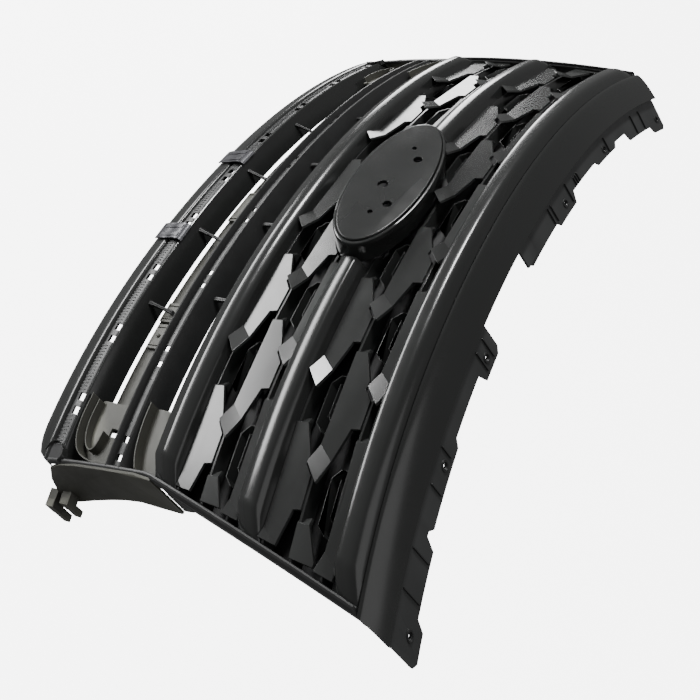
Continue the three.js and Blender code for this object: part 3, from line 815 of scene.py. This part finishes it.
CORNER_START = 0.9
LIP_FOOT_BACK = 42
STRIP_REACH = 0.975
STRIP_HIGH = LIP_TOP - 4.8
STRIP_LOW = LIP_TOP - 20.2
STRIP_PITCH = 102
STRIP_SHIFT = -20
STRIP_PAIRS = range(-4, 5)
SLOT_SPREAD = 9
SLOT_ROOM = 15  # the fine ribs stop this far from the middle of a pair of slots
FINE_RIB_GAP = 4.5


def corner_shape(t, h):
    """The foot sweeps up to a rounded corner over the last part of each end."""
    share = max(0.0, (abs(t) - CORNER_START) / (1 - CORNER_START))
    lift = 1 - math.sqrt(1 - min(1.0, share) ** 2)
    fixed = LIP_TOP - 24
    return fixed + (h - fixed) * (1 - 0.8 * lift) if h < fixed else h


def build_lip():
    top = LIP_TOP
    channel = [(top + 3, 46), (top, 14), (top - 0.3, 12), (top - 1.2, 11), (top - 2.2, 11),
               (top - 3, 11.6), (top - 4, 16), (top - 21, 15)]
    roll = softened([
        (top - 21.8, 11), (top - 23, 8.4), (top - 27, 7.4), (top - 42, 8), (top - 54, 13),
        (top - 62, 22), (top - 67, 34), (LIP_FOOT, LIP_FOOT_BACK)])
    inside = softened([
        (LIP_FOOT + 2.4, LIP_FOOT_BACK), (top - 64.4, 35), (top - 59.6, 23.6), (top - 52.4, 15.2),
        (top - 41.4, 10.6), (top - 27, 10.1), (top - 24.6, 11)], 2)
    profile = channel + roll + inside + [(top - 23.2, 17.4), (top - 3, 18.6), (top + 0.6, 46)]
    body = Body()
    body.sweep(profile, -1, 1, inset=2, shaped=corner_shape)
    piece = body.piece("lower_lip_surface", "satin_plastic", ["lower_lip"], smooth=28)
    openings = strip_slots((-12, 5), (9, 24), (-15, -0.5))
    cut_under_bevel(piece, openings.cutter(), 0.3)


def build_lip_ends():
    """The arched recess at each end of the lip, with a thin raised rim, closed by a sheet of the
    darkest plastic: painted shade for the dark hollow.
    """
    rims = Body()
    shade_plugs = Body()
    for _, sign in SIDES:
        arch = softened([(461, -279), (452, -273), (439, -283), (440, -300), (452, -306)], 2)
        run = [(sign * x, h) for x, h in arch]
        rims.ribbon(run, 1.1, 6, 15)
        # A sheet of the darkest plastic inside each arch: painted shade where the hollow is dark.
        shade_plugs.plate([(sign * 462, -304)] + run, 10.2, 1)
    rims.piece("lip_end_rims", "satin_plastic", bevel=0.3, smooth=50)
    shade_plugs.piece("lip_end_shade_plugs", "backing_plastic")


def strip_slots(across, depths, heights):
    """A cutter for the pairs of slots: each one's reach in x, d and h about its place."""
    slots = Body()
    for k in STRIP_PAIRS:
        for side in (-SLOT_SPREAD, SLOT_SPREAD):
            x = k * STRIP_PITCH + STRIP_SHIFT + side
            slots.block(x + across[0], x + across[1], *depths,
                        STRIP_HIGH + heights[0], STRIP_HIGH + heights[1])
    return slots


def build_lip_trim():
    high, low = STRIP_HIGH, STRIP_LOW
    line = softened([(high, 13.2), (high - 1.2, 11.9), (high - 7, 10.6), (low + 1.6, 10.4),
                     (low, 12.4)], 2)
    body = Body()
    body.sweep(wall(line, 1.8), -STRIP_REACH, STRIP_REACH)
    piece = body.piece("lip_trim_strip_surface", "grained_plastic", ["lip_trim_strip"], smooth=30)
    cut_under_bevel(piece, strip_slots((-6, 4), (6, 20), (-9, -0.8)).cutter(), 0.2)
    ribs = Body()
    reach = (STRIP_REACH - 0.01) * half_width_at(low)
    for i in range(int(2 * reach / FINE_RIB_GAP)):
        x = -reach + i * FINE_RIB_GAP
        if all(abs(x - k * STRIP_PITCH - STRIP_SHIFT) > SLOT_ROOM for k in STRIP_PAIRS):
            ribs.block(x - 0.5, x + 0.5, 10.0, 11.6, low + 2, high - 4.5)
    ribs.piece("lip_trim_ribs", "grained_plastic", smooth=30)


CLIP_HALF = 15
CLIP_RIDGE_SPREAD = 8
CLIP_RIDGE_HALF = 3


def build_clips():
    for i in (1, 2):
        node = f"lip_clip_{i}"
        x = middle_of(node)
        line = softened([
            (LIP_TOP + 3, 11), (LIP_TOP + 1, 7), (LIP_TOP - 4, 4.4), (LIP_TOP - 12, 4),
            (LIP_TOP - 22, 4.8), (LIP_TOP - 32, 3.4), (LIP_TOP - 44, 4.6)])
        body = Body()
        body.strip(wall(line, 1.3), x - CLIP_HALF, x + CLIP_HALF, 6)
        ridge = softened([(LIP_TOP - 3, 4.2), (LIP_TOP - 12, 2.9), (LIP_TOP - 22, 3.6),
                          (LIP_TOP - 34, 2.7)], 2)
        for side in (-CLIP_RIDGE_SPREAD, CLIP_RIDGE_SPREAD):
            at = x + side
            body.strip(wall(ridge, 1.8), at - CLIP_RIDGE_HALF, at + CLIP_RIDGE_HALF)
        body.piece(f"{node}_surface", "spring_steel", [node], bevel=0.3, smooth=30)


# ---------------------------------------------------------------------------------------------
# Rear rail, struts and pockets

RAIL_TOP = -250
RAIL_FOOT = -275
RAIL_DEPTH = 50
RAIL_REACH = 0.86
# Boxes on the rail's face: x from, x to, and how far each one stands above the rail.
RAIL_BOXES = ((-20, 45, 3), (205, 236, 4), (240, 278, 7))
BOX_FRONT = RAIL_DEPTH - 5
HOOKS_AT = (63, 238)
HOOK_RADIUS = 9
KNOB_AT = 259


def middle_of(node):
    """Where a node's middle stands across the grille, in mm."""
    low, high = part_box(node)
    return (low.x + high.x) / 2 / MM


def build_rail():
    body = Body()
    strip = [(RAIL_TOP, RAIL_DEPTH), (RAIL_TOP, RAIL_DEPTH + 3), (RAIL_FOOT, RAIL_DEPTH + 3),
             (RAIL_FOOT, RAIL_DEPTH)]
    body.sweep(strip, -RAIL_REACH, RAIL_REACH)
    body.piece("rear_rail_surface", "inner_plastic", ["rear_rail"], bevel=0.4)
    body = Body()
    for start, end, rise in RAIL_BOXES:
        for low, high in ((start, end), (-end, -start)):
            if start < 0 and low != start:
                continue
            outline = rounded([(low, RAIL_FOOT + rise), (high, RAIL_FOOT + rise),
                               (high, RAIL_TOP + rise), (low, RAIL_TOP + rise)], 2.5)
            body.plate(outline, BOX_FRONT, 7)
            for x in (low + 5, high - 5):
                body.block(x - 0.8, x + 0.8, RAIL_DEPTH - 6.5, RAIL_DEPTH, RAIL_FOOT + rise + 2,
                           RAIL_TOP + rise - 2)
    for x in HOOKS_AT:
        add_hook(body, x)
        add_hook(body, -x)
    for x in (-KNOB_AT, KNOB_AT):
        add_knob(body, x, BOX_FRONT, (RAIL_TOP + RAIL_FOOT) / 2 + 6, 3)
    body.piece("rear_rail_boxes", "inner_plastic", bevel=0.4, smooth=30)


def add_hook(body, x):
    """An open loop on the rail's top edge, that a cable or a duct clips into."""
    turns = [math.radians(-30 + 30 * i) for i in range(9)]
    middle = RAIL_TOP + 6
    loop = [(x + HOOK_RADIUS * math.cos(a), middle + HOOK_RADIUS * math.sin(a)) for a in turns]
    body.ribbon(loop, 2.2, BOX_FRONT, RAIL_DEPTH + 3)


def add_knob(body, x, d, h, radius):
    """A round-topped pin that stands forward of depth d."""
    rings = []
    for share in (1.0, 0.96, 0.8, 0.5, 0.15):
        lift = radius * math.sqrt(1 - share**2)
        rings.append([on_face(px, d - lift, ph) for px, ph in circle(x, h, radius * share, 16)])
    base = [on_face(px, d + 2, ph) for px, ph in circle(x, h, radius, 16)]
    body.loft([base] + rings)


STRUT_WAIST = 0.35  # how much narrower a strut is at its middle
STRUT_THICK = 6
LOWER_STRUT_FRONT = 22
UPPER_STRUT_FRONT = 26


def build_strut(node, foot, top, foot_depth, top_depth):
    """A waisted bar with a thin web on its front, leaning back if its top is deeper."""
    x = middle_of(node)
    body = Body()
    steps = 8
    for half, proud, thick in ((2.9, 0.8, 4.8), (0.7, 0, 2)):
        rings = []
        for i in range(steps + 1):
            share = i / steps
            waist = half * (1 - STRUT_WAIST * math.sin(math.pi * share))
            depth = foot_depth + (top_depth - foot_depth) * share + proud
            h = foot + (top - foot) * share
            rings.append([
                on_face(x + side * waist, depth + back, h)
                for side, back in ((-1, 0), (1, 0), (1, thick), (-1, thick))])
        body.loft(rings)
    body.piece(f"{node}_surface", "grained_plastic", [node], bevel=0.3)


def build_struts():
    for i in range(1, 5):
        node = f"lower_slot_strut_{i}"
        x = middle_of(node)
        meets_box = any(start < x < end for start, end, _ in RAIL_BOXES)
        top_depth = (BOX_FRONT if meets_box else RAIL_DEPTH) - FIT - STRUT_THICK
        build_strut(node, LIP_TOP + 1.9, RAIL_TOP, LOWER_STRUT_FRONT, top_depth)
        build_strut(f"upper_slot_strut_{i}", DIVIDER_TOP + 3.4, LOWER_BAR_FOOT - 2.4,
                    UPPER_STRUT_FRONT, UPPER_STRUT_FRONT)


# The notch in each lower pocket: x from, x to, h from and h to.
POCKET_NOTCH = (399, 409, -240, -223)


def build_pocket(node, sign, floor, rims, depth, notch=None):
    """A shallow bowl: a floor plate with rims that stand forward from it."""
    body = Body()
    placed = [(sign * x, h) for x, h in rounded(floor, 5)]
    body.plate(placed, depth, 3)
    for line, front in rims:
        run = [(sign * x, h) for x, h in softened(line)]
        body.ribbon(run, 1.4, front, depth + 1)
    piece = body.piece(f"{node}_surface", "inner_plastic", [node], bevel=0.4, smooth=30)
    if notch:
        x0, x1, h0, h1 = notch
        gap = Body()
        gap.block(*sorted((sign * x0, sign * x1)), depth - 3, depth + 6, h0, h1)
        cut_under_bevel(piece, gap.cutter(), 0.4)


def build_pockets():
    edge = half_width_at(-240) - 1
    top_edge = half_width_at(-150) - 1
    lower = [(368, -273), (420, -272), (444, -258), (edge, -240), (edge - 3, -214), (368, -214)]
    outer_rim = [(370, -272), (408, -274), (436, -266), (448, -248), (450, -216)]
    inner_rim = [(372, -267), (402, -269), (424, -263), (435, -252), (430, -243), (409, -240)]
    upper = [(366, -177), (412, -175), (440, -169), (top_edge, -143), (366, -143)]
    upper_rim = [(366, -176), (390, -176), (414, -173.5), (430, -170), (443, -164)]
    for side, sign in SIDES:
        build_pocket(f"lower_slot_pocket_{side}", sign, lower,
                     ((outer_rim, 12), (inner_rim, 20)), 30, POCKET_NOTCH)
        build_pocket(f"upper_slot_pocket_{side}", sign, upper, ((upper_rim, 12),), 24)


# ---------------------------------------------------------------------------------------------
# Sides and flange

SIDE_TOP = 111
SIDE_FOOT = -135.5
ROD_FOOT = -300
ROD_DEPTH = 13
ROD_RADIUS = 3.4
FLANGE_TOP = 117.1
FLANGE_HOLE = 3.6
# Ribs that run back over the flange's tabs: the depths where they start and end, and their x.
FLANGE_RIBS = (
    (66, 98, (400, 440, -400, -430)),
    (66, 96, (147, 168, -150)),
    (66, 92, (-97,)),
    (66, 90, (-88, -296)),
    (67, 89, (332,)),
    (66, 86, (290,)),
    (70, 84, (-176, -182, -188)),
)
# The screw holes: x and depth.
FLANGE_HOLES = ((158, 86), (303, 81), (472, 93), (-131, 86), (-285, 81), (-479, 93))


def build_side_walls():
    """The side of the grille, with two beads along its front edge."""
    section = [
        (-3.4, 6), (-3.4, 46), (0, 46), (0, 21), (1.4, 19.5), (2.6, 16.5), (1.4, 13.5), (0, 12.6),
        (0, 11.4), (1.4, 10.4), (2.4, 8), (1.2, 5.4), (-1.2, 4.8)]
    steps = 30
    heights = [SIDE_FOOT + (SIDE_TOP - SIDE_FOOT) * i / steps for i in range(steps + 1)]
    for side, sign in SIDES:
        body = Body()
        body.loft([
            [on_face(sign * (half_width_at(h) + out), d, h) for out, d in section] for h in heights
        ])
        node = f"side_wall_{side}"
        body.piece(f"{node}_surface", finish_of(node), [node], bevel=0.3, smooth=50)


def build_side_rods():
    """A round rod along each side, where the ends of the bars and the bracket meet."""
    body = Body()
    steps = 60
    heights = [ROD_FOOT + (SIDE_TOP - ROD_FOOT) * i / steps for i in range(steps + 1)]
    for _, sign in SIDES:
        body.loft([
            [on_face(sign * (half_width_at(h) + x), d, h)
             for x, d in circle(-1.5, ROD_DEPTH, ROD_RADIUS, 14)]
            for h in heights
        ])
    body.piece("side_rods", "grained_plastic", smooth=50)


def build_side_gussets():
    """A tapering web behind each side wall's foot, where the bracket's tongue runs past it."""
    body = Body()
    low, high = SIDE_FOOT - 1, SIDE_FOOT + 34
    for _, sign in SIDES:
        rings = []
        for h, back in ((low, 72), (low + 12, 64), (high, 47)):
            edge = half_width_at(h)
            inner, outer, front = -3.2, 0.4, 40
            section = ((inner, front), (inner, back), (outer, back), (outer, front))
            rings.append([on_face(sign * (edge + x), d, h) for x, d in section])
        body.loft(rings)
    body.piece("side_gussets", "grained_plastic", bevel=0.4)


def build_flange_details():
    """Ribs and raised hole rims on the two flanges."""
    body = Body()
    for start, end, places in FLANGE_RIBS:
        for x in places:
            body.block(x - 0.8, x + 0.8, start, end, FLANGE_TOP - 0.4, FLANGE_TOP + 2)
    for x, d in FLANGE_HOLES:
        rings = []
        for radius, h in ((FLANGE_HOLE + 0.1, 0), (FLANGE_HOLE + 3, 0), (FLANGE_HOLE + 2.4, 1.2),
                          (FLANGE_HOLE + 0.5, 1.2)):
            rings.append([on_face(px, pd, FLANGE_TOP + h) for px, pd in circle(x, d, radius, 24)])
        ring_body(body, rings)
    body.piece("flange_ribs", "grained_plastic", bevel=0.25)


# ---------------------------------------------------------------------------------------------
# The CAD pieces that keep their own shape


def keep_cad_pieces():
    for name, node in frame["nodes"].items():
        if node.hide_render:
            continue
        slot = finish_of(name)
        node.data.materials.clear()
        node.data.materials.append(MATERIALS[slot])
        add_bevel(node, 0.4)


# ---------------------------------------------------------------------------------------------

MATERIALS = make_materials()
make_camera()
make_studio()
make_floor()
build_bars()
build_header()
build_badge()
build_lattice()
build_divider()
build_lip()
build_lip_ends()
build_lip_trim()
build_clips()
build_rail()
build_struts()
build_pockets()
build_side_walls()
build_side_rods()
build_side_gussets()
build_flange_details()
keep_cad_pieces()
